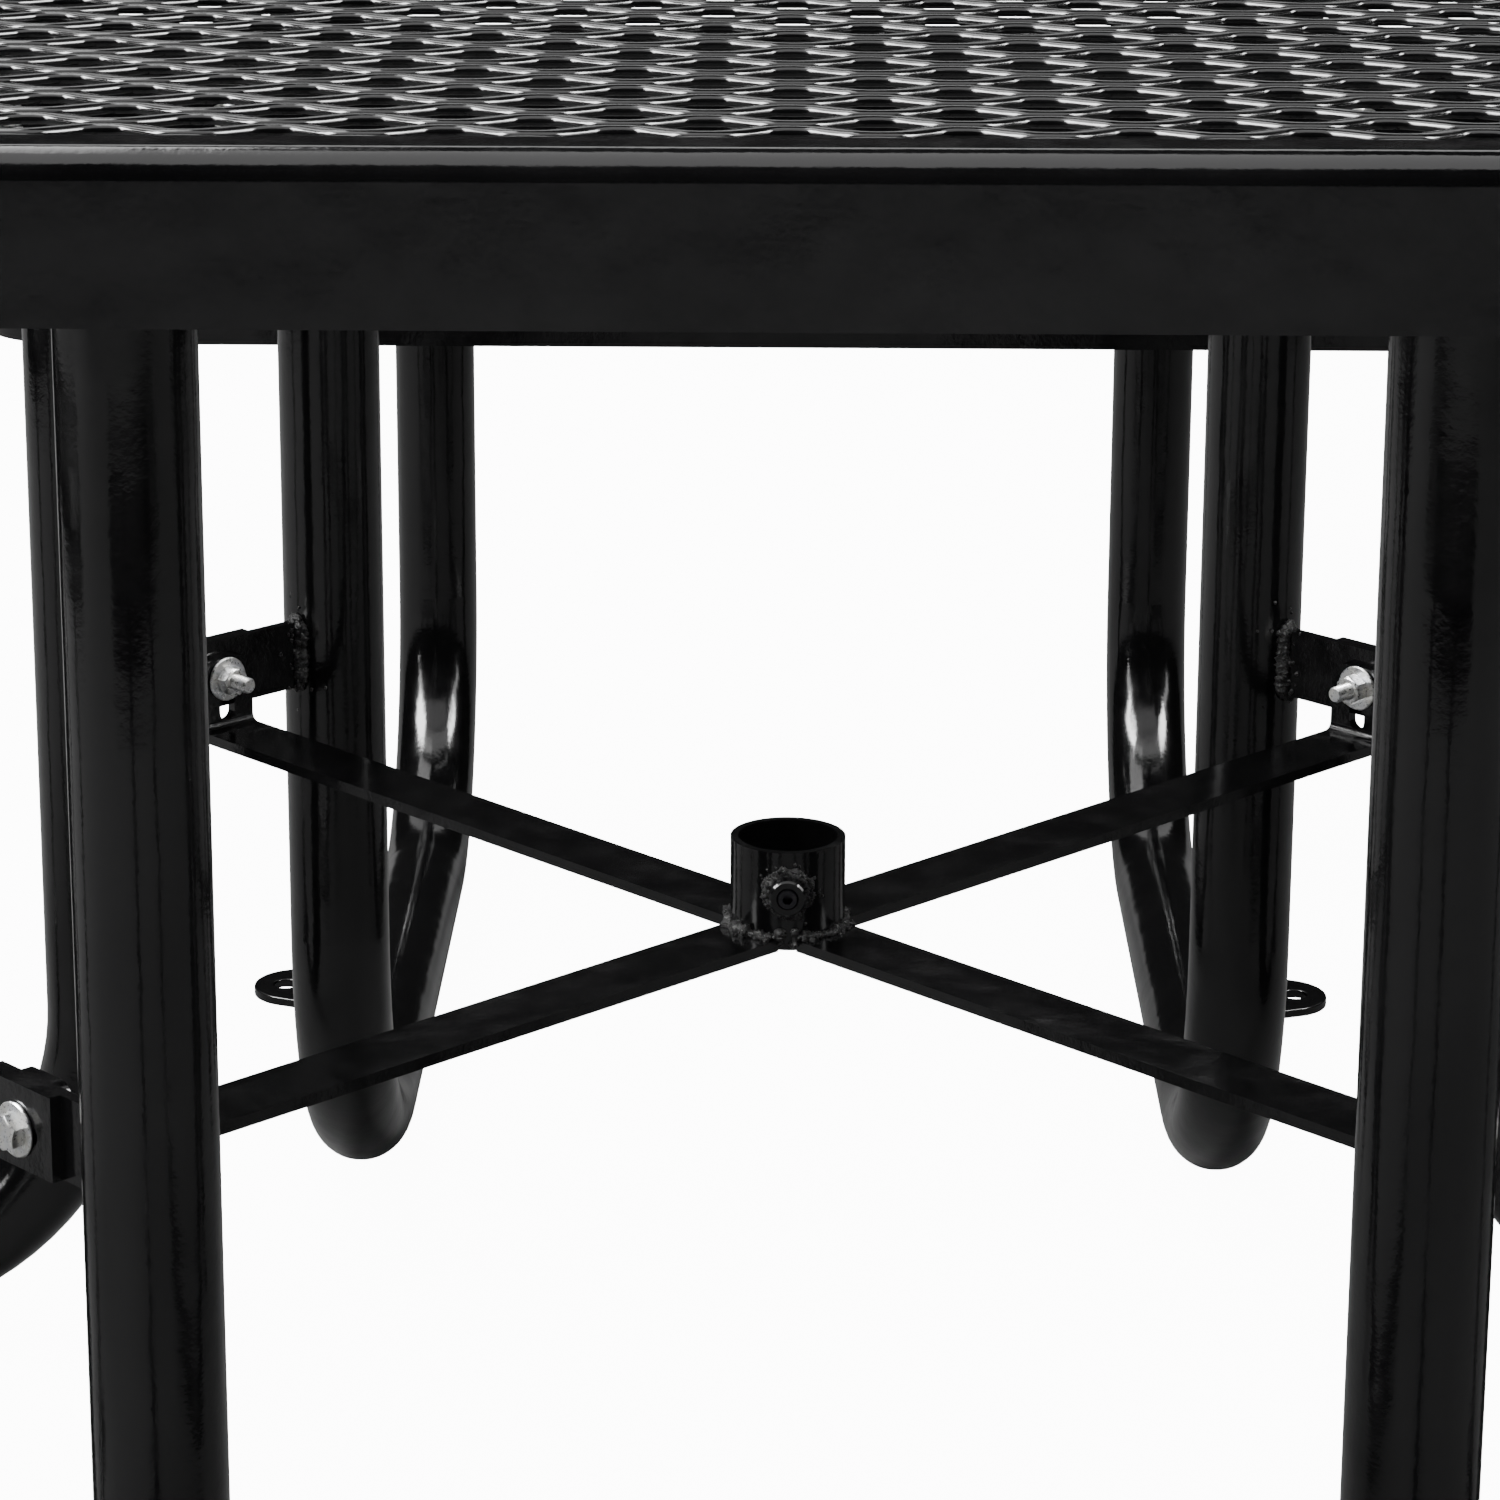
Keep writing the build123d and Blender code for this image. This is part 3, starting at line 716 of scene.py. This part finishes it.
def studio_world():
    """White to the camera, dark to reflections."""
    world = bpy.data.worlds.new("studio")
    world.use_nodes = True
    tree = world.node_tree
    white = tree.nodes["Background"]
    white.inputs["Color"].default_value = (1, 1, 1, 1)
    white.inputs["Strength"].default_value = FLOOR_GLOW
    dark = tree.nodes.new("ShaderNodeBackground")
    dark.inputs["Color"].default_value = (1, 1, 1, 1)
    dark.inputs["Strength"].default_value = WORLD_REFLECTED
    output = tree.nodes["World Output"]
    mixed = camera_ray_mix(tree, white.outputs["Background"], dark.outputs["Background"])
    tree.links.new(mixed, output.inputs["Surface"])
    bpy.context.scene.world = world


def area_light(name, place, aim, width, height, power, in_reflections=True, on_surfaces=True):
    """A softbox; a card is one that shows in glossy reflections but lights no diffuse surface."""
    light = bpy.data.lights.new(name, "AREA")
    light.shape = "RECTANGLE"
    light.size = width
    light.size_y = height
    light.energy = power
    lamp = bpy.data.objects.new(name, light)
    bpy.context.scene.collection.objects.link(lamp)
    lamp.visible_glossy = in_reflections
    lamp.visible_diffuse = on_surfaces
    lamp.location = place
    lamp.rotation_euler = (Vector(aim) - Vector(place)).to_track_quat("-Z", "Y").to_euler()


stage_plane("floor", 30, -0.0005, floor_material())
studio_world()
area_light("softbox_top_left", (-1.75, 1.2, 3.3), (-1.75, 1.2, 0), 2.3, 2.8, 110)
area_light("softbox_back", (0, 3.4, 2.5), (0, 0, 0.7), 5.0, 0.9, 18)
area_light("card_left", (-3.0, -0.5, 3.0), (0, -0.3, 0.75), 1.6, 2.0, 600, on_surfaces=False)
area_light("card_right", (3.0, -0.5, 3.0), (0, -0.3, 0.75), 1.2, 1.5, 280, on_surfaces=False)
area_light("card_front", (0, -0.85, 3.3), (0, -0.85, 0), 4.0, 3.3, 90, on_surfaces=False)
area_light("softbox_front", (0, -4.2, 3.0), (0, -2.2, 0), 3.0, 1.2, 90, in_reflections=False)
area_light("softbox_left", (-3.6, -1.4, 1.9), (-1.4, -0.6, 0), 0.7, 2.2, 45)
area_light("softbox_right", (3.6, -0.8, 2.1), (1.4, -0.6, 0), 0.7, 2.2, 25)

CAMERA_PLACE = (0.0021, -1.8959, 0.9778)
CAMERA_YAW = 0.0371
CAMERA_PITCH = 0.2657
CAMERA_ROLL = -0.0024
CAMERA_LENS = 110.46
CAMERA_SHIFT = (0.08, -0.12)
SENSOR_WIDTH = 36


def add_camera():
    """Camera ahead of the front edge, a little above the top, looking down at the brace."""
    yaw, pitch, roll = CAMERA_YAW, CAMERA_PITCH, CAMERA_ROLL
    ahead = np.array([-math.sin(yaw) * math.cos(pitch), math.cos(yaw) * math.cos(pitch), -math.sin(pitch)])
    right = np.array([math.cos(yaw), math.sin(yaw), 0])
    up = np.cross(right, ahead)
    rolled_right = right * math.cos(roll) + up * math.sin(roll)
    rolled_up = up * math.cos(roll) - right * math.sin(roll)
    camera_data = bpy.data.cameras.new("camera")
    camera_data.sensor_width = SENSOR_WIDTH
    camera_data.lens = CAMERA_LENS
    camera_data.shift_x, camera_data.shift_y = CAMERA_SHIFT
    camera = bpy.data.objects.new("camera", camera_data)
    bpy.context.scene.collection.objects.link(camera)
    matrix = Matrix.Identity(4)
    for column, axis in enumerate((rolled_right, rolled_up, -ahead)):
        for row in range(3):
            matrix[row][column] = axis[row]
    matrix.translation = CAMERA_PLACE
    camera.matrix_world = matrix
    bpy.context.scene.camera = camera


add_camera()
